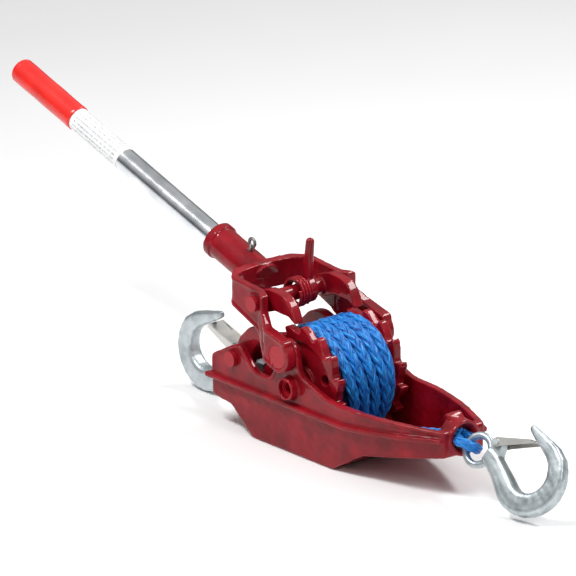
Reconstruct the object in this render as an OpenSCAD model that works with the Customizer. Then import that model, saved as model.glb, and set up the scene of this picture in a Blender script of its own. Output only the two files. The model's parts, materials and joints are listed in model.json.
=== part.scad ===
// Come-along winch: a cast boat-shaped frame carries a rope drum between two ratchet wheels.
// A forked lever swings on two trunnions and drives the wheels through one pawl, a second
// pawl in the frame holds them, and a latched hook at each end takes the load.
// Origin: on the flat keel, straight below the drum axis. +X points to the front hook, +Z up.

/* [Drum] */
// Height of the drum axis above the flat keel
drum_z = 74.4; // [73:0.2:85]
// Radius over the ratchet teeth
wheel_tip_r = 64.5; // [55:0.5:65]
// Radial depth of a ratchet tooth
tooth_depth = 8.5; // [6:0.5:10]
// Number of ratchet teeth on each wheel
teeth = 15; // [12:1:18]
// Face width of a ratchet wheel
wheel_t = 13; // [9:0.5:14]
// Clear width between the two ratchet wheels
rope_space = 70; // [60:1:72]
// Radius of the bare drum barrel
barrel_r = 20; // [16:1:24]
// Diameter of the drum axle
axle_d = 20; // [14:0.5:22]
// Radius over the wound rope
winding_r = 62.5; // [50:0.5:64]

/* [Rope] */
// Diameter of the braided rope
rope_d = 12.7; // [9:0.1:13]
// Turns of rope side by side in the outer layer
turns = 5; // [4:1:7]

/* [Frame] */
// Half width of the frame over its side walls
frame_half_w = 61; // [60:0.5:66]
// Thickness of the side walls
wall_t = 7; // [5:0.5:7]
// Thickness of the keel floor
floor_t = 6; // [4:0.5:6.5]
// Rear face of the frame, behind the drum axis
frame_rear = 132; // [128:1:150]
// Front face of the frame, ahead of the drum axis
frame_front = 211; // [205:1:240]
// Half width of the frame at its front face
nose_half_w = 27; // [25:0.5:32]
// How far the outside ledge stands out of the walls
ledge_out = 6; // [3:0.5:8]
// Thickness of the outside ledge
ledge_t = 5.5; // [4:0.5:8]
// Outer radius of the rope fairlead ring in the nose
fairlead_r = 20; // [18.5:0.5:22]
// Radius of the hole through the fairlead
fairlead_hole_r = 13; // [11:0.5:14]

/* [Lever] */
// Diameter of the trunnions the lever swings on
trunnion_d = 25.4; // [20:0.2:28]
// Radius of the eyes at the ends of the fork arms
arm_eye_r = 18; // [16:0.5:20]
// Thickness of the fork arms at their eyes
arm_t = 12; // [9:0.5:13]
// Outside diameter of the handle tube
tube_d = 25.4; // [20:0.2:30]
// Wall of the handle tube
tube_wall = 2; // [1.5:0.1:3]
// Length of handle tube that stands out of the socket
tube_out = 345; // [260:5:480]
// Length of the vinyl grip
grip_len = 104; // [80:1:140]
// Outside diameter of the vinyl grip
grip_d = 28.4; // [24:0.2:34]
// Length of the printed sleeve next to the grip
label_len = 83; // [50:1:100]
// Angle of the handle above the horizontal at rest
handle_rise = 17.6; // [12:0.2:22]

/* [Pawls] */
// Reach of a pawl from its pin to its tip
pawl_reach = 57; // [54:0.5:58]
// Radius of the hub of a pawl
pawl_hub_r = 12; // [10:0.5:13]
// Thickness of each pawl dog
dog_t = 12; // [8:0.5:13]
// Diameter of the pawl pins
pawl_pin_d = 12; // [9:0.5:13]
// Gap between a lifted pawl tip and the ratchet teeth
pawl_gap = 1.3; // [1.2:0.1:2]

/* [Hooks] */
// Outer radius of the hook bowl
hook_r = 46; // [40:0.5:47]
// Distance from the hook eye to the centre of the bowl
hook_reach = 75; // [72:0.5:90]
// Diameter of the rear hook's swivel shank
shank_d = 18; // [14:0.5:20]
// Outer radius of the eye of the front hook
eye_r = 20; // [18:0.5:21]
// Radius of the hole in the eye of the front hook
eye_hole_r = 12; // [10:0.5:13]

/* [Fits] */
// Radial clearance of pins and shafts that turn
run_fit = 0.06; // [0.03:0.01:0.1]
// Gap beside parts that move past each other
side_gap = 0.5; // [0.3:0.1:1]

/* [Hidden] */

trunnion = [-8.4, 35];
drive_pin = [-66, 76];
hold_pin = [-98, 6];
wheel_in = rope_space / 2;
wheel_out = wheel_in + wheel_t;
wall_in = frame_half_w - wall_t;
arm_in = frame_half_w + 1.5;
arm_out = arm_in + arm_t;
plate_in = wheel_out + side_gap;
plate_out = plate_in + 7;
pin_boss_y = plate_out + 2.2;
rim_out = 1;
dog_mid = (wheel_in + wheel_out) / 2;
nose_x = 85;
fairlead_z = -13;
ear_r = 17;
shank_z = -21;
rear_bowl = [-211, -drum_z + hook_r + 0.4];
boss_x = -frame_rear - ledge_out - 0.6;
seat_x = -frame_rear + 14;
socket_r = tube_d / 2 + 6.5;
handle_dir = [-cos(handle_rise), sin(handle_rise)];
socket_base = [-112, 75];
socket_len = 88;
mouth = socket_base + socket_len * handle_dir;
grip_end = 4;
wheel_root_r = wheel_tip_r - tooth_depth;
rope_r = rope_d / 2;
coil_r = winding_r - rope_r;
paint = [0.45, 0.02, 0.05];
zinc = [0.75, 0.78, 0.8];

// Corner b of the path a-b-c rounded to radius r, as the points of an arc.
function unit(v) = v / norm(v);
function corner(a, b, c, r, n) =
  let (u = unit(a - b), v = unit(c - b), half = acos(max(-1, min(1, u * v))) / 2)
  r < 0.05 || half > 89 ? [b] :
  let (centre = b + unit(u + v) * r / sin(half), p = b + u * r / tan(half), q = b + v * r / tan(half),
    a0 = atan2(p.y - centre.y, p.x - centre.x), a1 = atan2(q.y - centre.y, q.x - centre.x),
    turn = (a1 - a0 + 540) % 360 - 180)
  [for (i = [0:n]) centre + r * [cos(a0 + turn * i / n), sin(a0 + turn * i / n)]];
// Outline [[x, y, corner radius], ...] with its corners rounded.
function rounded(pts, n = 5) = let (m = len(pts)) [for (i = [0:m - 1])
  each corner([pts[(i + m - 1) % m].x, pts[(i + m - 1) % m].y], [pts[i].x, pts[i].y],
    [pts[(i + 1) % m].x, pts[(i + 1) % m].y], pts[i].z, n)];
function polar(r, a) = r * [cos(a), sin(a)];

// Children drawn in the XY plane stand up in the XZ plane, from y = y0 to y = y1.
module side(y0, y1) {
  translate([0, y1, 0]) rotate([90, 0, 0]) linear_extrude(y1 - y0) children();
}
module both_sides() {
  children();
  mirror([0, 1, 0]) children();
}
// Band between an outline and the same outline drawn in by w.
module rim(w) {
  difference() {
    children();
    offset(delta = -w) children();
  }
}
// Cylinder along Y at the point p of the XZ plane.
module cross_cyl(p, r, y0, y1) {
  translate([p.x, y1, p.y]) rotate([90, 0, 0]) cylinder(h = y1 - y0, r = r, $fn = 64);
}
// Cylinder along X from x0 to x1 at height z.
module long_cyl(x0, x1, r, z) {
  translate([x0, 0, z]) rotate([0, 90, 0]) cylinder(h = x1 - x0, r = r, $fn = 64);
}
function bowed(v, bow) = sign(v) * pow(abs(v), bow);
// Solid swept along a path of 3-D points that lies across the direction normal. Each point has
// its own radius. The section is squeezed along the normal by flat and is squarer as bow falls.
module sweep(path, radii, normal, sides = 12, flat = 1, bow = 1) {
  n = len(path);
  function tangent(i) = unit(path[min(i + 1, n - 1)] - path[max(i - 1, 0)]);
  rings = [for (i = [0:n - 1])
    let (t = tangent(i), v = unit(cross(normal, t)), u = cross(t, v), r = radii[i])
    for (k = [0:sides - 1]) let (a = 360 * k / sides)
      path[i] + r * (flat * u * bowed(cos(a), bow) + v * bowed(sin(a), bow))];
  walls = [for (i = [0:n - 2], k = [0:sides - 1]) let (j = (k + 1) % sides, a = i * sides, b = a + sides)
    each [[a + k, a + j, b + j], [a + k, b + j, b + k]]];
  ends = [[for (k = [sides - 1:-1:0]) k], [for (k = [0:sides - 1]) (n - 1) * sides + k]];
  polyhedron(rings, concat(walls, ends), convexity = 6);
}

// ---- frame ----
function half_width(x) =
  x < nose_x ? frame_half_w :
  frame_half_w - (frame_half_w - nose_half_w) * pow((x - nose_x) / (frame_front - nose_x), 1.7);
function plan(grow, x_rear, x_front) = let (n = 8,
  near = [for (i = [0:n]) let (x = nose_x + (x_front - nose_x) * i / n) [x, -half_width(x) - grow]])
  concat([[x_rear, -frame_half_w - grow]], near,
    [for (i = [n:-1:0]) [near[i].x, -near[i].y]], [[x_rear, frame_half_w + grow]]);
// Side outline of the hull and its ears.
hull_outline = rounded([
  [-frame_rear, -43, 7], [-100, -46.5, 16], [-66, -drum_z, 9], [66, -drum_z, 12], [112, -47.5, 26],
  [frame_front, -31, 2], [frame_front, -2, 4], [60, 1, 60], [13, 16, 16], [8, 40, 1],
  [-24, 36, 3], [-33, 1, 13], [-61, 0.5, 20], [-88, 27, 14], [-frame_rear, 3, 6]]);
hull_inside = [[-frame_rear - 1, -43 + floor_t], [-99, -46.5 + floor_t], [-63.5, -drum_z + floor_t],
  [63.5, -drum_z + floor_t], [110, -47.5 + floor_t], [frame_front + 1, -31 + floor_t],
  [frame_front + 1, 60], [-frame_rear - 1, 60]];
ledge_band = [[-frame_rear - ledge_out, -23], [nose_x, -23], [frame_front, -14],
  [frame_front, -14 + ledge_t], [nose_x, -23 + ledge_t], [-frame_rear - ledge_out, -23 + ledge_t]];
module plan_slab(grow, x_rear, x_front, z0, z1) {
  translate([0, 0, z0]) linear_extrude(z1 - z0) polygon(plan(grow, x_rear, x_front));
}
module frame_casting() {
  color(paint) difference() {
    union() {
      difference() {
        intersection() {
          side(-70, 70) polygon(hull_outline);
          plan_slab(0, -frame_rear, frame_front, -drum_z, 60);
        }
        intersection() {
          side(-70, 70) polygon(hull_inside);
          plan_slab(-wall_t, -frame_rear + 11, frame_front - 12, -drum_z, 60);
        }
      }
      difference() {
        intersection() {
          side(-80, 80) polygon(ledge_band);
          plan_slab(ledge_out, -frame_rear - ledge_out, frame_front - 1, -drum_z, 60);
        }
        plan_slab(-1, -frame_rear + 1, frame_front - 12, -drum_z, 60);
      }
      both_sides() {
        cross_cyl(trunnion, ear_r, wall_in, frame_half_w + 1);
        cross_cyl([0, 0], 12.3, wheel_out + 1, 71.5);
        cross_cyl([0, 0], 16, wheel_out + 0.6, wall_in + 1);
        cross_cyl(hold_pin, 11, plate_in, wall_in + 1);
      }
      difference() {
        intersection() {
          side(-80, 80) rim(3.6) polygon(hull_outline);
          plan_slab(rim_out, -frame_rear, frame_front - 1, -18, 60);
        }
        plan_slab(-1, -frame_rear - 1, frame_front, -20, 70);
      }
      long_cyl(boss_x, seat_x, shank_d / 2 + 7, shank_z);
      long_cyl(frame_front - 18, frame_front + 2, fairlead_r, fairlead_z);
      intersection() {
        cross_cyl([frame_front - 17, 4], 7, -9, 9);
        side(-20, 20) square([400, 20]);
      }
    }
    cross_cyl([0, 0], axle_d / 2, -90, 90);
    both_sides() cross_cyl([0, 0], axle_d / 2 + 1, 64.5, 66);
    cross_cyl(trunnion, trunnion_d / 2, -90, 90);
    cross_cyl(hold_pin, pawl_pin_d / 2, -90, 90);
    long_cyl(-frame_rear - 20, -90, shank_d / 2 + run_fit, shank_z);
    long_cyl(frame_front - 40, frame_front + 20, fairlead_hole_r, fairlead_z);
    translate([frame_front + 2.02, 0, fairlead_z]) rotate([0, -90, 0])
      cylinder(h = 5, r1 = fairlead_hole_r + 4, r2 = fairlead_hole_r, $fn = 64);
  }
}
module drum_axle() {
  color(paint) difference() {
    cross_cyl([0, 0], axle_d / 2, -64.5, 64.5);
    cross_cyl([0, 0], axle_d / 2 - 3.5, -70, 70);
  }
}
module axle_retainers() {
  color(paint) both_sides() difference() {
    cross_cyl([0, 0], axle_d / 2 + 1, 64.5, 66);
    cross_cyl([0, 0], axle_d / 2 - 2.5, 60, 70);
  }
}
module lever_trunnions() {
  color(paint) both_sides() cross_cyl(trunnion, trunnion_d / 2, wall_in, arm_out - 0.5);
}
module pin_with_heads(p, y_head, y_end) {
  cross_cyl(p, pawl_pin_d / 2, -y_end, y_end);
  both_sides() cross_cyl(p, pawl_pin_d / 2 + 2.5, y_head, y_head + 5);
}
module holding_pawl_pin() {
  color(paint) pin_with_heads(hold_pin, frame_half_w, frame_half_w + 5);
}

// ---- drum ----
module drum_barrel() {
  color(paint) difference() {
    cross_cyl([0, 0], barrel_r, -wheel_in, wheel_in);
    cross_cyl([0, 0], axle_d / 2 + 2.5, -90, 90);
  }
}
module drum_bushes() {
  color("peru") both_sides() difference() {
    cross_cyl([0, 0], axle_d / 2 + 2.5, 10, wheel_out);
    cross_cyl([0, 0], axle_d / 2 + run_fit, 0, 90);
  }
}
wheel_outline = [for (i = [0:teeth - 1]) let (a = 19 + 360 / teeth * i, step = 360 / teeth)
  each [polar(wheel_tip_r, a), polar(wheel_root_r, a + 0.5), polar(wheel_root_r + 0.3, a + step * 0.22),
    polar(wheel_root_r + tooth_depth * 0.55, a + step * 0.55), polar(wheel_tip_r, a + step * 0.83)]];
module ratchet_wheel() {
  difference() {
    union() {
      side(wheel_in + 3, wheel_out) polygon(wheel_outline);
      cross_cyl([0, 0], wheel_root_r - 1, wheel_in, wheel_in + 4);
    }
    difference() {
      cross_cyl([0, 0], wheel_root_r - 8, wheel_out - 4, wheel_out + 1);
      cross_cyl([0, 0], barrel_r + 1, wheel_out - 5, wheel_out + 2);
    }
    cross_cyl([0, 0], axle_d / 2 + 2.5, 0, 90);
    for (i = [0:3]) cross_cyl(polar(37, 20 + 90 * i), 6, 0, 90);
    for (i = [0:3]) cross_cyl(polar(barrel_r - 4, 65 + 90 * i), 2, 0, 90);
  }
}
module ratchet_wheel_near() {
  color(paint) mirror([0, 1, 0]) ratchet_wheel();
}
module ratchet_wheel_far() {
  color(paint) ratchet_wheel();
}
module wheel_rivets() {
  color(paint) both_sides() for (i = [0:3]) {
    cross_cyl(polar(barrel_r - 4, 65 + 90 * i), 2, wheel_in, wheel_out);
    cross_cyl(polar(barrel_r - 4, 65 + 90 * i), 3, wheel_out, wheel_out + 0.3);
  }
}
module rope_winding() {
  pitch = rope_space / turns;
  color("dodgerblue") rotate([90, 0, 0]) rotate_extrude($fn = 96) difference() {
    union() {
      translate([barrel_r, -wheel_in + 0.4]) square([coil_r - barrel_r, rope_space - 0.8]);
      for (i = [0:turns - 1]) translate([coil_r - 0.6, -wheel_in + pitch * (i + 0.5)])
        intersection() {
          circle(r = pitch / 2 - 0.05 + 0.5, $fn = 40);
          translate([-1, -pitch / 2 + 0.4]) square([rope_r + 1.6, pitch - 0.8]);
        }
    }
    translate([-100, -100]) square([100 + barrel_r, 200]);
  }
}

// ---- lever ----
yoke_side = rounded([[-45, 90.5, 3], [-128, 97, 2], [-128, 68, 4], [-112, 66, 7], [-66, 48, 8],
  [-50, 34, 10], [-18, 20, 2], [8, 52, 5], [-30, 61, 14], [-44, 73, 8]]);
function fork_plan(y_eye, y_plate, x_back, y_back) = [[12, y_eye, 1], [-30, y_eye, 8],
  [-60, y_plate, 14], [-106, y_plate, 9], [x_back + 3, y_back, 12], [x_back, 0, 40],
  [x_back + 3, -y_back, 12], [-106, -y_plate, 9], [-60, -y_plate, 14], [-30, -y_eye, 8], [12, -y_eye, 1]];
// Cylinder along the handle, from d0 to d1 millimetres behind the root of the socket.
module along_handle(d0, d1, r) {
  translate([socket_base.x + d0 * handle_dir.x, 0, socket_base.y + d0 * handle_dir.y])
    rotate([0, handle_rise - 90, 0]) cylinder(h = d1 - d0, r = r, $fn = 64);
}
tube_start = 24;
tube_end = socket_len + tube_out;
grip_start = tube_end + grip_end - grip_len;
cotter_d = 36;
module across_handle(d, r, h0, h1) {
  translate([socket_base.x + d * handle_dir.x, 0, socket_base.y + d * handle_dir.y])
    rotate([0, handle_rise, 0]) translate([0, 0, h0]) cylinder(h = h1 - h0, r = r, $fn = 32);
}
module fork_slab(grow) {
  translate([0, 0, 10]) linear_extrude(100) difference() {
    polygon(rounded(fork_plan(arm_out + grow, plate_out + grow, -124 - grow, 40)));
    polygon(rounded(concat([[20, arm_in, 0]], fork_plan(arm_in, plate_in, -115, 34), [[20, -arm_in, 0]])));
  }
}
module lever_yoke() {
  color(paint) difference() {
    union() {
      intersection() {
        side(-90, 90) polygon(yoke_side);
        fork_slab(0);
      }
      intersection() {
        side(-90, 90) rim(3.4) polygon(yoke_side);
        fork_slab(rim_out);
      }
      both_sides() cross_cyl(trunnion, arm_eye_r, arm_in, arm_out);
      both_sides() cross_cyl(drive_pin, pawl_pin_d / 2 + 5, plate_in, pin_boss_y);
      along_handle(4, socket_len - 1, socket_r - 1);
      along_handle(socket_len - 9, socket_len, socket_r + 1);
    }
    both_sides() cross_cyl(trunnion, trunnion_d / 2 + run_fit, 50, 90);
    cross_cyl(drive_pin, pawl_pin_d / 2, -90, 90);
    along_handle(tube_start, socket_len + 10, tube_d / 2);
    across_handle(cotter_d, 2.5, -40, 40);
  }
}
module handle_tube() {
  color(zinc) difference() {
    along_handle(tube_start, tube_end, tube_d / 2);
    along_handle(tube_start - 1, tube_end + 1, tube_d / 2 - tube_wall);
    across_handle(cotter_d, 2.5, -40, 40);
  }
}
module handle_grip() {
  color("red") difference() {
    union() {
      along_handle(grip_start, tube_end + grip_end - 6, grip_d / 2);
      along_handle(tube_end + grip_end - 7, tube_end + grip_end - 3, grip_d / 2 - 0.8);
      along_handle(tube_end + grip_end - 4, tube_end + grip_end, grip_d / 2 - 3);
    }
    along_handle(grip_start - 1, tube_end, tube_d / 2);
  }
}
module handle_label() {
  color("white") difference() {
    along_handle(grip_start - label_len, grip_start - 0.5, tube_d / 2 + 0.4);
    along_handle(grip_start - label_len - 1, grip_start, tube_d / 2);
  }
}
module handle_cotter() {
  loop_r = 4.5;
  color("dimgray") {
    across_handle(cotter_d, 2.3, -socket_r - 8, socket_r + 5);
    translate([socket_base.x + cotter_d * handle_dir.x, 0, socket_base.y + cotter_d * handle_dir.y])
      rotate([0, handle_rise, 0]) translate([0, 0, socket_r + 4 + loop_r]) rotate([90, 0, 0])
        rotate_extrude($fn = 32) translate([loop_r, 0]) circle(r = 1.8, $fn = 16);
  }
}

// ---- pawls ----
dog_y0 = dog_mid - dog_t / 2;
dog_y1 = dog_mid + dog_t / 2;
shaft_r = pawl_pin_d / 2 + 2.5;
pawl_k = pawl_reach / 57;
pawl_outline = rounded([for (p = [[-11, -4, 3], [-9, 9, 5], [8, 19, 24], [32, 22.5, 27], [47, 15, 22],
  [57, 1, 1], [56, -1, 0.5], [44, 3, 8], [22, -1, 10], [6, -11, 3], [-6, -10, 3]]) p * pawl_k]);
// Direction of a pawl's tip, in degrees, when the tip just clears the ratchet teeth.
function tip_angle(p, reach) = let (l = norm(p), t = wheel_tip_r + pawl_gap)
  atan2(-p.y, -p.x) + acos((l * l + reach * reach - t * t) / (2 * l * reach));
module pawl(p) {
  color(paint) difference() {
    union() {
      both_sides() side(dog_y0, dog_y1)
        translate(p) rotate(tip_angle(p, 56 * pawl_k)) polygon(pawl_outline);
      both_sides() cross_cyl(p, pawl_hub_r, dog_y0, dog_y1);
      cross_cyl(p, shaft_r, -dog_y0 - 1, dog_y0 + 1);
    }
    cross_cyl(p, pawl_pin_d / 2 + run_fit, -90, 90);
  }
}
module drive_pawl() {
  pawl(drive_pin);
}
module holding_pawl() {
  pawl(hold_pin);
}
module drive_pawl_pin() {
  color(paint) pin_with_heads(drive_pin, pin_boss_y, pin_boss_y + 4);
}
lever_y0 = 10.6;
lever_y1 = 20;
module pawl_lever() {
  color(paint) difference() {
    union() {
      cross_cyl(drive_pin, shaft_r + 6, lever_y0, lever_y1);
      translate([drive_pin.x, (lever_y0 + lever_y1) / 2, drive_pin.y]) rotate([0, 6, 0]) {
        translate([0, 0, 6]) cylinder(h = 49, r1 = 6, r2 = 4.7, $fn = 32);
        translate([0, 0, 55]) sphere(r = 4.7, $fn = 32);
      }
    }
    cross_cyl(drive_pin, shaft_r + run_fit, lever_y0 - 3, lever_y1 + 3);
  }
}
// Torsion spring round the pin p, wound from y0 to y1.
module torsion_spring(p, y0, y1, coils, r, wire, a0) {
  steps = 14 * coils;
  path = [for (i = [0:steps]) let (a = a0 + 360 * coils * i / steps)
    [p.x + r * cos(a), y0 + (y1 - y0) * i / steps, p.y + r * sin(a)]];
  sweep(path, [for (i = [0:steps]) wire / 2], [0, 1, 0], 8);
}
module drive_pawl_spring() {
  color(paint) torsion_spring(drive_pin, -5, 8, 3, shaft_r + 6.5, 3.6, 200);
}
module holding_pawl_spring() {
  color("dimgray") torsion_spring(hold_pin, -12, 12, 6, shaft_r + 2.4, 3, 90);
}

// ---- hooks ----
hook_k = hook_r / 46;
arc_steps = 10;
hook_line = concat(
  [[62, 0, 9], [57, -1, 9.8], [48, -5.5, 10], [36, -13.5, 10.4], [25, -22, 11.6]],
  [for (i = [0:arc_steps]) let (f = i / arc_steps, p = polar(33, -58 - 150 * f))
    [p.x, p.y, 12.6 - 2 * f + 0.8 * sin(180 * f)]],
  [[-25, 23, 10], [-15, 30.6, 8.8], [-4, 35.4, 7.4], [7, 39.4, 6], [16, 43, 4.8], [22.5, 45.8, 3.6],
    [24.6, 46.8, 2.4]]);
latch_pin = [52, 16] * hook_k;
latch_len = 44 * hook_k;
latch_rise = 21.5;
module hook_bowl() {
  sweep([for (p = hook_line) [p.x, 0, p.y] * hook_k], [for (p = hook_line) p.z * hook_k],
    [0, 1, 0], 20, 0.76, 0.5);
}
module hook_lug() {
  cross_cyl(latch_pin, 5.6, -6.4, 6.4);
  side(-6.4, 6.4) polygon([[44, 0], [60, 0], latch_pin + [5.6, 0], latch_pin - [5.6, 0]]);
}
module at_rear_hook() {
  translate([rear_bowl.x, 0, rear_bowl.y]) children();
}
module rear_hook() {
  color(zinc) difference() {
    union() {
      at_rear_hook() hook_bowl();
      at_rear_hook() hook_lug();
      long_cyl(rear_bowl.x + 60, boss_x - side_gap, shank_d / 2 + 4, shank_z);
      long_cyl(rear_bowl.x + 60, seat_x + 17, shank_d / 2, shank_z);
    }
    at_rear_hook() cross_cyl(latch_pin, 2, -20, 20);
  }
}
module rear_hook_washer() {
  color(zinc) difference() {
    long_cyl(seat_x + 0.2, seat_x + 2.7, shank_d / 2 + 5, shank_z);
    long_cyl(seat_x - 1, seat_x + 4, shank_d / 2, shank_z);
  }
}
module rear_hook_nut() {
  color(zinc) difference() {
    translate([seat_x + 2.7, 0, shank_z]) rotate([0, 90, 0]) cylinder(h = 11, r = shank_d / 2 + 5.5, $fn = 6);
    long_cyl(seat_x - 1, seat_x + 20, shank_d / 2, shank_z);
  }
}
module latch_rivet() {
  cross_cyl(latch_pin, 2, -10.6, 10.6);
  both_sides() cross_cyl(latch_pin, 3.4, 10.6, 12);
}
// Folded sheet latch: a top plate and two cheeks that straddle the hook.
module latch() {
  translate([latch_pin.x, 0, latch_pin.y]) rotate([0, latch_rise, 0]) {
    translate([-latch_len, -10.5, 1.2]) cube([latch_len - 6, 21, 1.5]);
    both_sides() difference() {
      side(9, 10.5) polygon([[-latch_len, 2.7], [0, 5.5], [5, 3], [5, -3], [0, -5], [-10, -3.5],
        [-latch_len, -1.2]]);
      cross_cyl([0, 0], 2 + run_fit, 0, 20);
    }
  }
}
module latch_spring() {
  both_sides() translate([latch_pin.x, 7.7, latch_pin.y]) rotate([90, 0, 0])
    rotate_extrude($fn = 32) translate([3.2, 0]) circle(r = 0.7, $fn = 16);
}
module rear_latch_rivet() {
  color(zinc) at_rear_hook() latch_rivet();
}
module rear_latch() {
  color("gray") at_rear_hook() latch();
}
module rear_latch_spring() {
  color("gray") at_rear_hook() latch_spring();
}
front_eye = [frame_front + 29, -4, -18];
front_turn = [-28, 8, 8];
module at_front_hook() {
  translate(front_eye) rotate(front_turn) rotate([0, 0, 180]) translate([-hook_reach, 0, 0]) children();
}
module front_hook() {
  color(zinc) at_front_hook() difference() {
    union() {
      hook_bowl();
      translate([hook_reach, 0, 0]) rotate([90, 0, 0]) rotate_extrude($fn = 64)
        translate([(eye_r + eye_hole_r) / 2, 0]) circle(r = (eye_r - eye_hole_r) / 2, $fn = 32);
      hook_lug();
    }
    cross_cyl(latch_pin, 2, -20, 20);
  }
}
module front_latch_rivet() {
  color(zinc) at_front_hook() latch_rivet();
}
module front_latch() {
  color("gray") at_front_hook() latch();
}
module front_latch_spring() {
  color("gray") at_front_hook() latch_spring();
}

// ---- rope from the drum to the front hook ----
function rot_x(p, a) = [p.x, p.y * cos(a) - p.z * sin(a), p.y * sin(a) + p.z * cos(a)];
function rot_y(p, a) = [p.x * cos(a) + p.z * sin(a), p.y, p.z * cos(a) - p.x * sin(a)];
function rot_z(p, a) = [p.x * cos(a) - p.y * sin(a), p.x * sin(a) + p.y * cos(a), p.z];
function turned(p) = rot_z(rot_y(rot_x([-p.x, -p.y, p.z], front_turn.x), front_turn.y), front_turn.z);
// Point at distance p.x from the hook eye, away from the bowl, and p.y to the side of the eye.
function eye_point(p) = front_eye + turned([p.x, p.y, 0]);
splice = [frame_front - 7, 0, fairlead_z];
// Straight run of rope, tangent to the outer turns, that fans out where its strands are spliced.
lead_tilt = asin(coil_r / norm(splice)) + atan2(splice.z, splice.x);
lead_dir = [cos(lead_tilt), 0, sin(lead_tilt)];
lead_len = sqrt(splice * splice - coil_r * coil_r);
function lead_point(d) = splice - (lead_len - d) * lead_dir;
module rope_lead() {
  peel_from = sqrt(pow(winding_r + 1.7, 2) - coil_r * coil_r);
  peel_to = sqrt(pow(winding_r + rope_r + 0.8, 2) - coil_r * coil_r);
  peel = [for (i = [0:4]) peel_from + (peel_to - peel_from) * i / 4];
  run = [for (i = [1:8]) peel_to + (lead_len - peel_to) * i / 8];
  path = [for (d = concat(peel, run)) lead_point(d)];
  color("dodgerblue") sweep(path, [for (i = [0:len(path) - 1])
    i < len(peel) ? min(rope_r, norm(path[i]) - winding_r - 0.8) : rope_r + max(0, i - len(path) + 4) * 1.2],
    [0, 1, 0]);
}
module rope_eye() {
  bight = (eye_r + eye_hole_r) / 2;
  loop_r = 11.4;
  leg = [0, 5.7, 0];
  path = concat([splice + 0.05 * lead_dir - leg, splice + 3 * lead_dir - leg,
      [frame_front + 4.5, -11.6, fairlead_z + 0.4]],
    [for (i = [0:8]) let (a = 72 + 27 * i) eye_point([bight + loop_r * cos(a), loop_r * sin(a)])],
    [[frame_front + 5, 6.2, fairlead_z - 2], splice + 3 * lead_dir + leg, splice + 0.05 * lead_dir + leg]);
  color("dodgerblue") sweep(path, [for (i = [0:len(path) - 1]) 5.6], turned([0, 0, 1]));
}

module place() {
  translate([0, 0, drum_z]) children();
}
place() frame_casting();
place() drum_axle();
place() axle_retainers();
place() lever_trunnions();
place() holding_pawl_pin();
place() rope_lead();
place() rope_eye();
place() drum_barrel();
place() drum_bushes();
place() ratchet_wheel_near();
place() ratchet_wheel_far();
place() wheel_rivets();
place() rope_winding();
place() lever_yoke();
place() handle_tube();
place() handle_grip();
place() handle_label();
place() handle_cotter();
place() drive_pawl_pin();
place() drive_pawl();
place() pawl_lever();
place() drive_pawl_spring();
place() holding_pawl();
place() holding_pawl_spring();
place() rear_hook();
place() rear_hook_washer();
place() rear_hook_nut();
place() rear_latch_rivet();
place() rear_latch();
place() rear_latch_spring();
place() front_hook();
place() front_latch_rivet();
place() front_latch();
place() front_latch_spring();
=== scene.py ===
"""Looks of a come-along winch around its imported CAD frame.

Everything is in metres in the CAD frame: the origin is on the keel below the drum axis, +X points to
the front hook and +Z up.
"""
import json
import math

import bmesh
import bpy
import numpy as np
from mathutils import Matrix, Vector


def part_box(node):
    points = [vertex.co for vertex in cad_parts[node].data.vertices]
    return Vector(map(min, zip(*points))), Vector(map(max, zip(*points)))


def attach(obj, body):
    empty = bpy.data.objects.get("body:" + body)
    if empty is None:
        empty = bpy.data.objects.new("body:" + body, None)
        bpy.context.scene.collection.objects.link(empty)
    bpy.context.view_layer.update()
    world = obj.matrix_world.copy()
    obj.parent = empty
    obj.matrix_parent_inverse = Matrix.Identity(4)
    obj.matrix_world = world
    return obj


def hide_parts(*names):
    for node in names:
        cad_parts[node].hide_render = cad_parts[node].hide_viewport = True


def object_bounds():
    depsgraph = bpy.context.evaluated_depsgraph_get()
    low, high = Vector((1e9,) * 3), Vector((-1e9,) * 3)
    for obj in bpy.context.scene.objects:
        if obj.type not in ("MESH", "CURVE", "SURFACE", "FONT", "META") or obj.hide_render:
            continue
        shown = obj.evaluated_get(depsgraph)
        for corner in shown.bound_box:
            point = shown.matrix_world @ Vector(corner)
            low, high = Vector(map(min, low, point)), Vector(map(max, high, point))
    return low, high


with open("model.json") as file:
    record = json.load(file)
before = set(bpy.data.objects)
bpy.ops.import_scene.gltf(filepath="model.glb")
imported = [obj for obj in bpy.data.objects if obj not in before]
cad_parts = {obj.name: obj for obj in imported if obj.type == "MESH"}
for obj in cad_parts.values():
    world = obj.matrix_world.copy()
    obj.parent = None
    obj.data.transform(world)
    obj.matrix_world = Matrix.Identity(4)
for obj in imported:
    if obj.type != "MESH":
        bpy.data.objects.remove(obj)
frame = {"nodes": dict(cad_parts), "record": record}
cad_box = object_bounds()
nodes = frame["nodes"]
body_of_node = {n: b for b, names in frame["record"]["behaviour"]["bodies"].items() for n in names}
MM = 0.001


def joint_place(name):
    """Point and axis of a joint, as the record gives them."""
    joint = next(j for j in frame["record"]["behaviour"]["joints"] if j["name"] == name)
    return Vector(joint["pos_m"]), Vector(joint["axis"])


drum_axis, _ = joint_place("drum_spin")
drive_pin, _ = joint_place("drive_pawl_turn")
hold_pin, _ = joint_place("holding_pawl_lift")
front_eye, front_across = joint_place("front_hook_swing")
drum_z = drum_axis.z

# ---------------------------------------------------------------- camera, light, floor
VIEW_AZIMUTH = math.radians(50)
VIEW_ELEVATION = math.radians(19.3)
VIEW_DISTANCE = 24.0
VIEW_TARGET = Vector((-0.0559, -0.0190, 0.1618))
PIXELS_PER_METRE = 940
SENSOR = 36
IMAGE = 576


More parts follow.
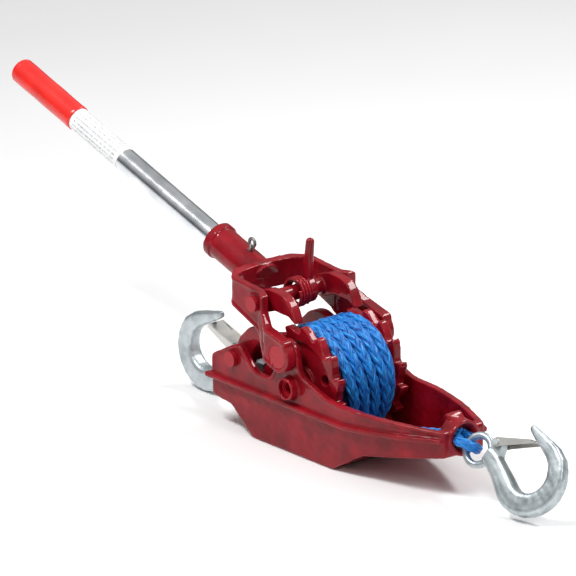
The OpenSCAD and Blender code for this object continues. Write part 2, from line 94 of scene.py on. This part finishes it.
def view_direction(azimuth, elevation):
    """Unit vector towards a viewer at that azimuth from -Y, turning to +X, and that elevation."""
    return Vector((math.sin(azimuth) * math.cos(elevation), -math.cos(azimuth) * math.cos(elevation),
                   math.sin(elevation)))


def aim(obj, place, target):
    obj.location = place
    obj.rotation_euler = (target - place).to_track_quat("-Z", "Y").to_euler()
    bpy.context.scene.collection.objects.link(obj)
    return obj


def make_camera():
    data = bpy.data.cameras.new("camera")
    data.sensor_width = SENSOR
    data.lens = PIXELS_PER_METRE * VIEW_DISTANCE * SENSOR / IMAGE
    data.clip_end = 100
    back = view_direction(VIEW_AZIMUTH, VIEW_ELEVATION)
    bpy.context.scene.camera = aim(bpy.data.objects.new("camera", data), VIEW_TARGET + VIEW_DISTANCE * back,
                                   VIEW_TARGET)


def area_light(name, azimuth, elevation, distance, size, power):
    data = bpy.data.lights.new(name, "AREA")
    data.shape = "RECTANGLE"
    data.size, data.size_y = size
    data.energy = power
    centre = Vector((-0.05, 0, 0.1))
    way = view_direction(math.radians(azimuth), math.radians(elevation))
    aim(bpy.data.objects.new(name, data), centre + distance * way, centre)


def make_light():
    world = bpy.data.worlds.new("studio")
    bpy.context.scene.world = world
    world.use_nodes = True
    background = world.node_tree.nodes["Background"]
    background.inputs["Strength"].default_value = 0.50
    tree = world.node_tree
    way = tree.nodes.new("ShaderNodeTexCoord").outputs["Generated"]
    height = tree.nodes.new("ShaderNodeSeparateXYZ")
    ramp = tree.nodes.new("ShaderNodeValToRGB")
    tree.links.new(way, height.inputs[0])
    tree.links.new(height.outputs[2], ramp.inputs[0])
    tree.links.new(ramp.outputs[0], background.inputs["Color"])
    ramp.color_ramp.elements[0].position = 0.10
    ramp.color_ramp.elements[0].color = (0.16, 0.17, 0.18, 1)
    ramp.color_ramp.elements[1].position = 0.55
    ramp.color_ramp.elements[1].color = (1, 1, 1, 1)
    area_light("key", -10, 60, 1.6, (0.8, 0.26), 20)
    area_light("rim", 165, 50, 1.8, (1.2, 0.22), 19)
    area_light("front", 85, 30, 2.0, (0.3, 0.9), 8)
    bpy.context.scene.view_settings.view_transform = "Standard"


def make_floor():
    bpy.ops.mesh.primitive_plane_add(size=12, location=(0, 0, -0.0006))
    floor = bpy.context.object
    floor.name = "floor"
    floor.data.materials.append(floor_material())


# ---------------------------------------------------------------- materials
class Shader:
    """A node material with one Principled shader, and short ways to add the nodes that feed it."""

    def __init__(self, name, **constants):
        self.material = bpy.data.materials.new(name)
        self.material.use_nodes = True
        self.tree = self.material.node_tree
        self.bsdf = self.tree.nodes["Principled BSDF"]
        for key, value in constants.items():
            self.bsdf.inputs[key.replace("_", " ")].default_value = value
        self.coords = self.add("ShaderNodeTexCoord").outputs["Object"]

    def add(self, kind, inputs=None, **settings):
        node = self.tree.nodes.new(kind)
        for key, value in settings.items():
            setattr(node, key, value)
        for key, value in (inputs or {}).items():
            if isinstance(value, bpy.types.NodeSocket):
                self.tree.links.new(value, node.inputs[key])
            else:
                node.inputs[key].default_value = value
        return node

    def noise(self, scale, detail=3, roughness=0.55, stretch=(1, 1, 1), vector=None):
        mapped = self.add("ShaderNodeMapping", {"Vector": vector or self.coords, "Scale": stretch})
        return self.add("ShaderNodeTexNoise", {"Vector": mapped.outputs[0], "Scale": scale, "Detail": detail,
                                               "Roughness": roughness}).outputs["Fac"]

    def cells(self, scale, vector=None):
        return self.add("ShaderNodeTexVoronoi", {"Vector": vector or self.coords, "Scale": scale}).outputs

    def ramp(self, value, *stops):
        node = self.add("ShaderNodeValToRGB", {"Fac": value})
        elements = node.color_ramp.elements
        while len(elements) < len(stops):
            elements.new(0.5)
        for element, (place, colour) in zip(elements, stops):
            element.position = place
            element.color = (*colour, 1) if isinstance(colour, tuple) else (colour, colour, colour, 1)
        return node.outputs["Color"]

    def mix(self, factor, a, b, blend_type="MIX"):
        node = self.add("ShaderNodeMix", data_type="RGBA", blend_type=blend_type)
        for socket, value in ((node.inputs[0], factor), (node.inputs[6], a), (node.inputs[7], b)):
            if isinstance(value, bpy.types.NodeSocket):
                self.tree.links.new(value, socket)
            elif isinstance(value, tuple):
                socket.default_value = (*value, 1)
            else:
                socket.default_value = value
        return node.outputs[2]

    def math(self, operation, a, b=0.0):
        node = self.add("ShaderNodeMath", {0: a, 1: b}, operation=operation)
        return node.outputs[0]

    def remap(self, value, low, high):
        node = self.add("ShaderNodeMapRange", {"Value": value, "To Min": low, "To Max": high})
        return node.outputs["Result"]

    def bump(self, height, distance, strength=1.0, normal=None):
        inputs = {"Height": height, "Distance": distance, "Strength": strength}
        if normal:
            inputs["Normal"] = normal
        return self.add("ShaderNodeBump", inputs).outputs["Normal"]

    def wire(self, **sockets):
        for key, value in sockets.items():
            self.tree.links.new(value, self.bsdf.inputs[key.replace("_", " ")])
        return self.material


def floor_material():
    shader = Shader("floor_white", Roughness=0.75, Specular_IOR_Level=0.2)
    tone = shader.ramp(shader.noise(3, 2), (0.3, 0.90), (0.7, 0.93))
    return shader.wire(Base_Color=tone)


def paint_material(name="cast_red_enamel", cast=1.0):
    """Glossy enamel over a cast skin: soft orange peel, a painted highlight lighter on edges, painted shade
    darker in hollows.
    """
    shader = Shader(name, Coat_Weight=0.6, Coat_Roughness=0.03, Coat_IOR=1.40, Specular_IOR_Level=0.10)
    mottle = shader.noise(38, 4)
    colour = shader.ramp(mottle, (0.30, (0.140, 0.0006, 0.004)), (0.55, (0.235, 0.0014, 0.008)),
                         (0.80, (0.330, 0.0034, 0.014)))
    edge = shader.add("ShaderNodeNewGeometry").outputs["Pointiness"]
    # Painted highlight: a lighter red is mixed in where the surface is convex, along edges and rims.
    colour = shader.mix(shader.ramp(edge, (0.515, 0.0), (0.60, 0.55)), colour, (0.46, 0.012, 0.024))
    # Painted shade: a near-black red is mixed in where the surface is concave, in hollows and corners.
    colour = shader.mix(shader.ramp(edge, (0.40, 0.75), (0.49, 0.0)), colour, (0.050, 0.0003, 0.002))
    rough = shader.remap(shader.noise(90, 3), 0.46, 0.62)
    peel = shader.bump(shader.noise(260, 2, 0.5), 0.00035, 0.55 * cast)
    skin = shader.bump(shader.noise(70, 3, 0.6), 0.0012, 0.40 * cast, peel)
    pits = shader.ramp(shader.cells(190)["Distance"], (0.05, 0.0), (0.22, 1.0))
    skin = shader.bump(pits, 0.00025, 0.35 * cast, skin)
    return shader.wire(Base_Color=colour, Roughness=rough, Normal=skin)


def zinc_material(name="zinc_plate", forged=1.0):
    """Bright zinc over forged steel: mottled grey with a cool cast, painted shade in hollows, dull patches
    and a fine scaled skin.
    """
    shader = Shader(name, Metallic=1.0)
    cloud = shader.noise(45, 5, 0.62)
    colour = shader.ramp(cloud, (0.28, (0.27, 0.305, 0.32)), (0.50, (0.50, 0.55, 0.57)),
                         (0.74, (0.70, 0.75, 0.77)))
    edge = shader.add("ShaderNodeNewGeometry").outputs["Pointiness"]
    # Painted shade: a dark grey is mixed in where the surface is concave, in hollows and corners.
    colour = shader.mix(shader.ramp(edge, (0.38, 0.6), (0.49, 0.0)), colour, (0.10, 0.105, 0.11))
    rough = shader.remap(shader.noise(120, 4), 0.36, 0.56)
    skin = shader.bump(shader.noise(150, 4, 0.65), 0.0006, 0.42 * forged)
    skin = shader.bump(shader.noise(620, 2), 0.0002, 0.30, skin)
    return shader.wire(Base_Color=colour, Roughness=rough, Normal=skin)


def tube_material(direction):
    """Drawn and plated tube: fine lines along its length, faint blotches, mirror-like streaks."""
    shader = Shader("plated_tube", Metallic=1.0, Anisotropic=0.3)
    across = Vector(direction).to_track_quat("X", "Z").to_euler()
    turned = shader.add("ShaderNodeMapping", {"Vector": shader.coords, "Rotation": tuple(-a for a in across)},
                        vector_type="TEXTURE").outputs[0]
    lines = shader.noise(900, 2, 0.6, (0.015, 1, 1), turned)
    blotch = shader.noise(30, 4)
    colour = shader.ramp(blotch, (0.3, (0.60, 0.63, 0.67)), (0.65, (0.86, 0.88, 0.90)))
    rough = shader.remap(shader.noise(60, 3), 0.13, 0.30)
    return shader.wire(Base_Color=colour, Roughness=rough, Normal=shader.bump(lines, 0.00015, 0.35))


def dull_steel_material(name="latch_steel", tint=(0.40, 0.385, 0.36)):
    """Stamped sheet or spring wire: dull, slightly yellowed plate with rubbed edges."""
    shader = Shader(name, Metallic=1.0)
    dark = tuple(0.55 * c for c in tint)
    colour = shader.ramp(shader.noise(80, 4), (0.3, dark), (0.7, tint))
    edge = shader.add("ShaderNodeNewGeometry").outputs["Pointiness"]
    colour = shader.mix(shader.ramp(edge, (0.52, 0.0), (0.62, 0.7)), colour, (0.74, 0.73, 0.70))
    rough = shader.remap(shader.noise(200, 3), 0.30, 0.52)
    grain = shader.bump(shader.noise(500, 2), 0.0002, 0.3)
    return shader.wire(Base_Color=colour, Roughness=rough, Normal=grain)


def bronze_material():
    """Sintered bronze: fine open grain with oil stains."""
    shader = Shader("sintered_bronze", Metallic=1.0)
    colour = shader.ramp(shader.noise(60, 4), (0.3, (0.30, 0.18, 0.08)), (0.7, (0.62, 0.42, 0.20)))
    grain = shader.cells(2500)["Distance"]
    return shader.wire(Base_Color=colour, Roughness=shader.remap(shader.noise(300), 0.4, 0.6),
                       Normal=shader.bump(grain, 0.0001, 0.4))


def vinyl_material():
    """Dipped vinyl: bright red, glossy, with soft sags and tiny specks."""
    shader = Shader("dipped_red_vinyl", Coat_Weight=0.35, Coat_Roughness=0.12, Subsurface_Weight=0.04,
                    Subsurface_Scale=0.002)
    colour = shader.ramp(shader.noise(40, 3), (0.3, (0.66, 0.010, 0.008)), (0.7, (0.82, 0.022, 0.014)))
    rough = shader.remap(shader.noise(120), 0.24, 0.36)
    sag = shader.bump(shader.noise(55, 2), 0.0007, 0.25)
    specks = shader.bump(shader.noise(700, 2), 0.0001, 0.25, sag)
    return shader.wire(Base_Color=colour, Roughness=rough, Normal=specks)


LABEL_ROWS = 17.0
MARKS_ALONG = 150.0
WORDS_ALONG = 26.0


def label_material():
    """White film sleeve with rows of small grey marks that stand for print, without any real wording."""
    shader = Shader("label_film", Coat_Weight=0.3, Coat_Roughness=0.2)
    place = shader.add("ShaderNodeAttribute", attribute_name="wrap").outputs["Vector"]
    parts = shader.add("ShaderNodeSeparateXYZ", {"Vector": place})
    along, around = parts.outputs[0], parts.outputs[1]

    def between(value, low, high):
        above, below = shader.math("GREATER_THAN", value, low), shader.math("LESS_THAN", value, high)
        return shader.math("MULTIPLY", above, below)

    def row_noise(times_along, shift, detail):
        """Noise that runs along a row and differs from row to row."""
        point = shader.add("ShaderNodeCombineXYZ", {"X": shader.math("MULTIPLY", along, times_along),
                                                    "Y": shader.math("MULTIPLY", row_number, shift)})
        inputs = {"Vector": point.outputs[0], "Scale": 1.0, "Detail": detail}
        return shader.add("ShaderNodeTexNoise", inputs).outputs["Fac"]

    row = shader.math("MULTIPLY", around, LABEL_ROWS)
    row_number = shader.math("FLOOR", row)
    in_row = between(shader.math("FRACT", row), 0.30, 0.66)
    mark = shader.math("GREATER_THAN", row_noise(MARKS_ALONG, 7.31, 1.0), 0.47)
    word = shader.math("GREATER_THAN", row_noise(WORDS_ALONG, 3.17, 0.0), 0.40)
    ink = shader.math("MULTIPLY", shader.math("MULTIPLY", mark, word), in_row)
    ink = shader.math("MULTIPLY", ink, between(along, 0.07, 0.93))
    film = shader.ramp(shader.noise(50, 3), (0.3, (0.78, 0.79, 0.80)), (0.7, (0.88, 0.88, 0.88)))
    colour = shader.mix(shader.math("MULTIPLY", ink, 0.72), film, (0.20, 0.20, 0.22))
    return shader.wire(Base_Color=colour, Roughness=shader.remap(shader.noise(90), 0.30, 0.42),
                       Normal=shader.bump(shader.noise(120, 2), 0.0002, 0.2))


BLUES = (0.000, 0.018, 0.150), (0.000, 0.120, 0.500), (0.035, 0.420, 0.840), (0.000, 0.220, 0.680)


def rope_material(name="blue_braid", dark=1.0):
    """Polypropylene filaments: fine bright lines along each strand, with strand-to-strand colour change."""
    shader = Shader(name, Sheen_Weight=0.06, Sheen_Roughness=0.4, Specular_IOR_Level=0.4)
    fibre = shader.add("ShaderNodeAttribute", attribute_name="fibre").outputs["Vector"]
    lines = shader.noise(1.0, 2, 0.5, (11, 0.10, 9.7), fibre)
    patch = shader.noise(1.0, 2, 0.5, (1.5, 0.10, 9.7), fibre)
    # A dark value below 1 scales every blue down, giving a copy of the braid with shade painted into its
    # colour.
    low, mid, high, pale = (tuple(dark * c for c in colour) for colour in BLUES)
    colour = shader.ramp(lines, (0.34, low), (0.50, mid), (0.68, high))
    colour = shader.mix(shader.ramp(patch, (0.35, 0.0), (0.7, 0.45)), colour, pale)
    rough = shader.remap(lines, 0.50, 0.30)
    return shader.wire(Base_Color=colour, Roughness=rough, Normal=shader.bump(lines, 0.0006, 0.7))


# ---------------------------------------------------------------- pieces
def link(name, mesh, body, material, replaced=()):
    """Puts a finished mesh in the scene as a piece of that body."""
    obj = bpy.data.objects.new(name, mesh)
    bpy.context.scene.collection.objects.link(obj)
    mesh.materials.clear()
    mesh.materials.append(material)
    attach(obj, body)
    if replaced:
        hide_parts(*replaced)
    return obj


def mesh_from(name, vertices, faces, attributes=None):
    mesh = bpy.data.meshes.new(name)
    mesh.from_pydata([tuple(v) for v in vertices], [], faces)
    for key, values in (attributes or {}).items():
        layer = mesh.attributes.new(key, "FLOAT_VECTOR", "POINT")
        layer.data.foreach_set("vector", np.asarray(values, dtype=np.float32).ravel())
    mesh.validate()
    mesh.shade_smooth()
    return mesh


def applied(obj):
    """The object's mesh with its modifiers worked in; the object itself is deleted."""
    bpy.context.view_layer.update()
    evaluated = obj.evaluated_get(bpy.context.evaluated_depsgraph_get())
    mesh = bpy.data.meshes.new_from_object(evaluated)
    bpy.data.objects.remove(obj, do_unlink=True)
    return mesh


def cast_waves(place):
    """Slow uneven lift of a cast or forged skin, from -1 to 1, at points in metres."""
    x, y, z = (place / MM).T
    first = np.sin(0.31 * x + 0.23 * z + 1.7 * np.sin(0.11 * y))
    return first * np.sin(0.19 * y + 0.27 * z + 0.9 * np.sin(0.13 * x))


def read_vectors(collection, field):
    """One 3-D vector for each item of a mesh collection."""
    flat = np.empty(3 * len(collection))
    collection.foreach_get(field, flat)
    return flat.reshape(-1, 3)


def soften(node, material, voxel, rounds, name, waves=0.0):
    """A cast or forged version of a CAD node: remeshed so that its edges melt together, then smoothed.

    voxel and waves, the height of its uneven skin, are in millimetres.
    """
    work = bpy.data.objects.new(name, nodes[node].data.copy())
    bpy.context.scene.collection.objects.link(work)
    remesh = work.modifiers.new("remesh", "REMESH")
    remesh.mode = "VOXEL"
    remesh.voxel_size = voxel * MM
    smooth = work.modifiers.new("smooth", "SMOOTH")
    smooth.factor = 0.5
    smooth.iterations = rounds
    mesh = applied(work)
    if waves:
        place = read_vectors(mesh.vertices, "co")
        place += read_vectors(mesh.vertex_normals, "vector") * (waves * MM * cast_waves(place))[:, None]
        place = np.clip(place, cad_box[0], cad_box[1])
        mesh.vertices.foreach_set("co", place.ravel())
    mesh.name = name
    mesh.shade_smooth()
    return link(name, mesh, body_of_node[node], material, (node,))


def dress(node, material, bevel=0.0):
    """Keeps a CAD node and gives it its finish, with a small bevel where its edges would be sharp."""
    obj = nodes[node]
    obj.data.materials.clear()
    obj.data.materials.append(material)
    if bevel:
        modifier = obj.modifiers.new("edge", "BEVEL")
        modifier.width = bevel * MM
        modifier.segments = 3
        modifier.limit_method = "ANGLE"
        modifier.angle_limit = math.radians(35)
    return obj


def resample(points, step):
    """Points spaced evenly along a polyline, and the distance of each from its start."""
    points = np.asarray(points, dtype=float)
    lengths = np.r_[0, np.cumsum(np.linalg.norm(np.diff(points, axis=0), axis=1))]
    count = max(4, int(lengths[-1] / step))
    distance = np.linspace(0, lengths[-1], count + 1)
    return np.column_stack([np.interp(distance, lengths, points[:, i]) for i in range(3)]), distance


def smooth_path(points, samples=14):
    """Catmull-Rom curve through the points."""
    p = np.asarray(points, dtype=float)
    p = np.vstack([2 * p[0] - p[1], p, 2 * p[-1] - p[-2]])
    out = []
    for i in range(1, len(p) - 2):
        for t in np.linspace(0, 1, samples, endpoint=False):
            out.append(0.5 * (2 * p[i] + (p[i + 1] - p[i - 1]) * t
                              + (2 * p[i - 1] - 5 * p[i] + 4 * p[i + 1] - p[i + 2]) * t * t
                              + (3 * p[i] - p[i - 1] - 3 * p[i + 1] + p[i + 2]) * t ** 3))
    out.append(p[-2])
    return np.array(out)


def frames_along(points, first_normal):
    """Unit tangents and two unit normals at each point, carried along without twist."""
    tangents = np.gradient(points, axis=0)
    tangents /= np.linalg.norm(tangents, axis=1)[:, None]
    normals = np.empty_like(points)
    n = np.asarray(first_normal, dtype=float)
    for i, t in enumerate(tangents):
        n = n - t * (n @ t)
        n = n / np.linalg.norm(n)
        normals[i] = n
    return tangents, normals, np.cross(tangents, normals)


def ribbon_faces(rings, sides, offset):
    """Quads that join rings of vertices into a tube, with a fan of one face at each end."""
    faces = []
    for i in range(rings - 1):
        a = offset + i * sides
        for k in range(sides):
            j = (k + 1) % sides
            faces.append((a + k, a + j, a + sides + j, a + sides + k))
    faces.append(tuple(offset + k for k in range(sides - 1, -1, -1)))
    faces.append(tuple(offset + (rings - 1) * sides + k for k in range(sides)))
    return faces


STRANDS_EACH_WAY = 6
BRAID_PITCH = 0.086
STRAND_SIDES = 8


def braid(points, first_normal, radius, step, flare=None):
    """A twelve-strand plaited rope round a route: six strands each way, over two and under two.

    flare(distance) scales the rope's radius along it. Returns vertices, faces and, for each vertex, the
    place across the strand, along it and the strand's own number, which the material draws filaments by.
    """
    points, distance = resample(points, step)
    _, normal, side = frames_along(points, first_normal)
    scale = np.ones(len(distance)) if flare is None else np.array([flare(d) for d in distance])
    vertices, faces, fibre = [], [], []
    middle, swing = 0.67 * radius, 0.1265 * radius
    wide, thick = 0.36 * radius, 0.25 * radius
    for strand in range(2 * STRANDS_EACH_WAY):
        way = 1 if strand < STRANDS_EACH_WAY else -1
        start = 2 * math.pi * strand / STRANDS_EACH_WAY + (0.26 if way < 0 else 0)
        angle = start + way * 2 * math.pi * distance / BRAID_PITCH
        wander = 0.02 * np.sin(distance / 0.017 + 2.1 * strand) + 0.015 * np.sin(distance / 0.0071 + strand)
        reach = (middle + way * swing * np.cos(3 * angle)) * (1 + wander) * scale
        radial = np.cos(angle)[:, None] * normal + np.sin(angle)[:, None] * side
        centre = points + reach[:, None] * radial
        tangent = np.gradient(centre, axis=0)
        tangent /= np.linalg.norm(tangent, axis=1)[:, None]
        across = np.cross(tangent, radial)
        across /= np.linalg.norm(across, axis=1)[:, None]
        offset = sum(len(v) for v in vertices)
        around = 2 * math.pi * np.arange(STRAND_SIDES) / STRAND_SIDES
        ring = (centre[:, None, :]
                + (wide * scale)[:, None, None] * np.cos(around)[None, :, None] * across[:, None, :]
                + (thick * scale)[:, None, None] * np.sin(around)[None, :, None] * radial[:, None, :])
        vertices.append(ring.reshape(-1, 3))
        faces += ribbon_faces(len(points), STRAND_SIDES, offset)
        across_place = np.tile(np.cos(around) * wide / thick / 4, len(points))
        along_place = np.repeat(distance / MM, STRAND_SIDES)
        fibre.append(np.column_stack([across_place, along_place, np.full(len(along_place), float(strand))]))
    return np.vstack(vertices), faces, np.vstack(fibre)


def braided_piece(name, route, first_normal, radius, step, body, material, replaced=(), flare=None):
    vertices, faces, fibre = braid(route, first_normal, radius, step, flare)
    mesh = mesh_from(name, vertices, faces, {"fibre": fibre})
    return link(name, mesh, body, material, replaced)


ROPE_R = 6.35 * MM
WINDING_R = 62.5 * MM
COIL_R = WINDING_R - ROPE_R
LAYER_STEP = 12.9 * MM
ROPE_SPACE = 70 * MM
TURNS = 5


def winding_route(radius, turns, first_y, last_y, start_angle=0.0, steps=72):
    """Turns laid side by side round the drum, each stepping across to its neighbour behind the drum."""
    route = []
    pitch = (last_y - first_y) / (turns - 1)
    for i in range(int(turns * steps) + 1):
        lap = i / steps
        within = lap - math.floor(lap)
        across = min(1, max(0, (within - 0.70) / 0.30))
        y = first_y + pitch * min(turns - 1, math.floor(lap) + across * across * (3 - 2 * across))
        sway = 0.35 * MM * math.sin(5.1 * lap + 1.3) + 0.25 * MM * math.sin(13.7 * lap)
        r = radius + 0.35 * MM * math.sin(7.3 * lap)
        angle = start_angle + 2 * math.pi * within
        route.append((r * math.sin(angle), y + sway, drum_z + r * math.cos(angle)))
    return route


def make_rope():
    outer = rope_material()
    # Painted shade: a copy of the braid at 0.55 brightness, for the lower layer of turns and the core under
    # them.
    shaded_braid = rope_material("blue_braid_painted_shade", 0.55)
    edge = ROPE_SPACE / 2 - ROPE_R - 0.4 * MM
    braided_piece("rope_turns", winding_route(COIL_R - 0.2 * MM, TURNS, -edge, edge, math.radians(150)),
                  (0, 1, 0), ROPE_R, 2.2 * MM, "drum", outer, ("rope_winding",))
    gap = edge / (TURNS - 1)
    below = winding_route(COIL_R - LAYER_STEP, TURNS - 1, edge - gap, -edge + gap, 2.6)
    braided_piece("rope_turns_below", below, (0, 1, 0), ROPE_R, 4.0 * MM, "drum", shaded_braid)
    # A solid ring stands for the inner rope layers. It takes the darkened braid, which is painted shade under
    # the turns.
    core = lathe_y([(22, -34.6), (38, -34.6), (38, 34.6), (22, 34.6)], 64)
    link("rope_core", mesh_from("rope_core", *core), "drum", shaded_braid)


def lathe_y(profile, steps):
    """Closed ring turned about the drum axis from (radius, y) points in millimetres."""
    vertices, faces = [], []
    count = len(profile)
    for i in range(steps):
        a = 2 * math.pi * i / steps
        vertices += [tuple(drum_axis + Vector((r * math.cos(a), y, r * math.sin(a))) * MM)
                     for r, y in profile]
    for i in range(steps):
        j = (i + 1) % steps
        for k in range(count):
            m = (k + 1) % count
            faces.append((i * count + k, i * count + m, j * count + m, j * count + k))
    return vertices, faces


SPLICE = Vector((204, 0, -13)) * MM
LOOP_START = Vector((215.5, -11.6, -12.6)) * MM
LOOP_END = Vector((216, 6.2, -15)) * MM
LOOP_R = 11.4 * MM
LOOP_ROPE_R = 5.6 * MM
LEG = Vector((0, 5.7, 0)) * MM
EYE_MIDDLE_R = 16.0 * MM


def front_hook_axes():
    """World directions of the front hook: from the bowl to the eye, and out of the hook's flat side."""
    bowl = next(Vector(m["pos_m"]) for m in frame["record"]["mounts"] if m["name"] == "front_hook_bowl")
    along = (front_eye - bowl).normalized()
    return along, along.cross(front_across).normalized()


def make_rope_end():
    """The straight run to the fairlead and the spliced loop through the hook's eye, as one plaited rope."""
    blue = rope_material("blue_braid_end")
    along, out = front_hook_axes()
    splice = drum_axis + SPLICE
    tilt = math.asin(COIL_R / SPLICE.length) + math.atan2(SPLICE.z, SPLICE.x)
    ahead = Vector((math.cos(tilt), 0, math.sin(tilt)))
    length = math.sqrt(SPLICE.length_squared - COIL_R ** 2)
    start = splice - ahead * (length - 4 * MM)
    run = [tuple(start + ahead * (length * i / 12)) for i in range(13)]
    braided_piece("rope_run", run, (0, 1, 0), ROPE_R, 2.2 * MM, "frame", blue, ("rope_lead",),
                  lambda d: 1 + 0.5 * max(0, min(1, (d / length - 0.80) / 0.18)))
    angles = [math.radians(72 + 27 * i) for i in range(9)]
    loop = [front_eye + along * (EYE_MIDDLE_R + LOOP_R * math.cos(a)) + front_across * (LOOP_R * math.sin(a))
            for a in angles]
    first = [splice - ahead * 12 * MM - LEG, splice + ahead * 3 * MM - LEG, drum_axis + LOOP_START]
    last = [drum_axis + LOOP_END, splice + ahead * 3 * MM + LEG, splice - ahead * 12 * MM + LEG]
    route = smooth_path([tuple(p) for p in first + loop + last])
    braided_piece("rope_loop", route, tuple(out), LOOP_ROPE_R, 1.8 * MM, "frame", blue, ("rope_eye",))


def coil_piece(name, centre, radius, wire, turns, length, body, material, replaced):
    """Wire wound round an axis along Y."""
    axis = Vector((0, 1, 0))
    u = axis.orthogonal().normalized()
    v = axis.cross(u)
    steps = int(28 * turns)
    route = []
    for i in range(steps + 1):
        a = 0.4 + 2 * math.pi * turns * i / steps
        out = u * math.cos(a) + v * math.sin(a)
        route.append(centre + axis * length * (i / steps - 0.5) + radius * out)
    points, _ = resample([tuple(p) for p in route], wire * 0.6)
    _, normal, side = frames_along(points, tuple(axis))
    sides = 12
    around = 2 * math.pi * np.arange(sides) / sides
    ring = (points[:, None, :] + wire / 2 * (np.cos(around)[None, :, None] * normal[:, None, :]
                                             + np.sin(around)[None, :, None] * side[:, None, :]))
    mesh = mesh_from(name, ring.reshape(-1, 3), ribbon_faces(len(points), sides, 0))
    return link(name, mesh, body, material, replaced)


def make_springs(red, steel):
    """Torsion springs on the two pawl shafts."""
    for node, pin, radius, wire, turns, body, slot, material in (
            ("drive_pawl", drive_pin, 15 * MM, 3.6 * MM, 3.2, "drive_pawl", "red_paint", red),
            ("holding_pawl", hold_pin, 10.9 * MM, 3.0 * MM, 6, "holding_pawl", "grey_steel", steel)):
        low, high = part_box(node + "_spring")
        middle = Vector((pin.x, (low[1] + high[1]) / 2, pin.z))
        coil_piece(node + "_coil", middle, radius, wire, turns, high[1] - low[1] - wire, body, material,
                   (node + "_spring",))


def handle_axis():
    """Start point and direction of the handle, from the socket out to the grip."""
    mesh = nodes["handle_tube"].data
    place = np.array([v.co[:] for v in mesh.vertices])
    centre = place.mean(axis=0)
    _, _, directions = np.linalg.svd(place - centre, full_matrices=False)
    direction = Vector(directions[0])
    if direction.x > 0:
        direction = -direction
    return Vector(centre), direction.normalized()


def turned_piece(name, profile, body, material, replaced, steps=72):
    """Solid of revolution round the handle from (distance, radius) points in metres, ends closed."""
    centre, direction = handle_axis()
    side = Vector((0, 1, 0))
    up = direction.cross(side).normalized()
    vertices, wrap, faces = [], [], []
    first, last = profile[0][0], profile[-1][0]
    for i in range(steps):
        a = 2 * math.pi * i / steps
        for d, r in profile:
            vertices.append(tuple(centre + direction * d + (side * math.cos(a) + up * math.sin(a)) * r))
            wrap.append(((d - first) / (last - first), i / steps, 0))
    count = len(profile)
    for i in range(steps):
        j = (i + 1) % steps
        faces += [(i * count + k, j * count + k, j * count + k + 1, i * count + k + 1)
                  for k in range(count - 1)]
    faces.append(tuple(i * count for i in range(steps - 1, -1, -1)))
    faces.append(tuple(i * count + count - 1 for i in range(steps)))
    mesh = mesh_from(name, vertices, faces, {"wrap": wrap})
    bm = bmesh.new()
    bm.from_mesh(mesh)
    bmesh.ops.recalc_face_normals(bm, faces=bm.faces)
    bm.to_mesh(mesh)
    bm.free()
    mesh.shade_smooth()
    return link(name, mesh, body, material, replaced)


def along_handle(node):
    """Distances along the handle at which a node starts and ends, from the tube's middle."""
    centre, direction = handle_axis()
    reach = [(Vector(v.co) - centre).dot(direction) for v in nodes[node].data.vertices]
    return min(reach), max(reach)


GRIP_R = 14.2 * MM
TUBE_R = 12.7 * MM


def make_handle():
    _, direction = handle_axis()
    dress("handle_tube", tube_material(direction))
    start, end = along_handle("handle_grip")
    round_end = [(end - 6.5 * MM + 6.5 * MM * math.sin(a), GRIP_R - 8 * MM + 8 * MM * math.cos(a))
                 for a in np.linspace(0, math.pi / 2, 10)]
    profile = [(start, TUBE_R), (start, GRIP_R - 0.5 * MM), (start + 0.6 * MM, GRIP_R)]
    steps = np.linspace(start + 4 * MM, end - 7 * MM, 40)
    profile += [(d, GRIP_R - 0.10 * MM * (1 + math.sin(d / (7 * MM)))) for d in steps]
    turned_piece("grip_sleeve", profile + round_end, "lever", vinyl_material(), ("handle_grip",))
    start, end = along_handle("handle_label")
    outer = TUBE_R + 0.38 * MM
    rows = [(start, TUBE_R), (start + 0.1 * MM, outer)]
    rows += [(d, outer) for d in np.linspace(start + 2 * MM, end - 2 * MM, 20)]
    rows += [(end - 0.1 * MM, outer), (end, TUBE_R)]
    turned_piece("label_sleeve", rows, "lever", label_material(), ("handle_label",))


def make_castings(red):
    soften("frame_casting", red, 1.2, 4, "hull_casting", 0.12)
    soften("lever_yoke", red, 1.0, 4, "fork_casting", 0.10)
    soften("ratchet_wheel_near", red, 1.0, 4, "wheel_near", 0.08)
    soften("ratchet_wheel_far", red, 1.0, 4, "wheel_far", 0.08)
    soften("drive_pawl", red, 0.9, 5, "drive_pawl_skin", 0.06)
    soften("holding_pawl", red, 0.9, 5, "holding_pawl_skin", 0.06)
    soften("pawl_lever", red, 0.6, 6, "thumb_lever")
    for node in ("holding_pawl_pin", "drive_pawl_pin"):
        dress(node, red, 2.6)
    for node in ("lever_trunnions", "wheel_rivets"):
        dress(node, red, 1.0)
    for node in ("drum_barrel", "drum_axle", "axle_retainers"):
        dress(node, red, 0.4)


def make_hooks(zinc):
    soften("rear_hook", zinc, 0.8, 4, "rear_hook_forging", 0.10)
    soften("front_hook", zinc, 0.8, 4, "front_hook_forging", 0.10)
    for node in ("rear_hook_washer", "rear_hook_nut", "rear_latch_rivet", "front_latch_rivet"):
        dress(node, zinc, 0.4)


make_camera()
make_light()
make_floor()
cast_red = paint_material()
smooth_red = paint_material("smooth_red_enamel", 0.45)
zinc = zinc_material()
steel = dull_steel_material()
make_castings(cast_red)
make_hooks(zinc)
make_rope()
make_rope_end()
make_springs(smooth_red, steel)
make_handle()
dress("drum_bushes", bronze_material())
for part in ("rear_latch", "front_latch"):
    dress(part, steel, 0.35)
for part in ("rear_latch_spring", "front_latch_spring", "handle_cotter"):
    dress(part, dull_steel_material(part + "_steel", (0.30, 0.29, 0.28)))
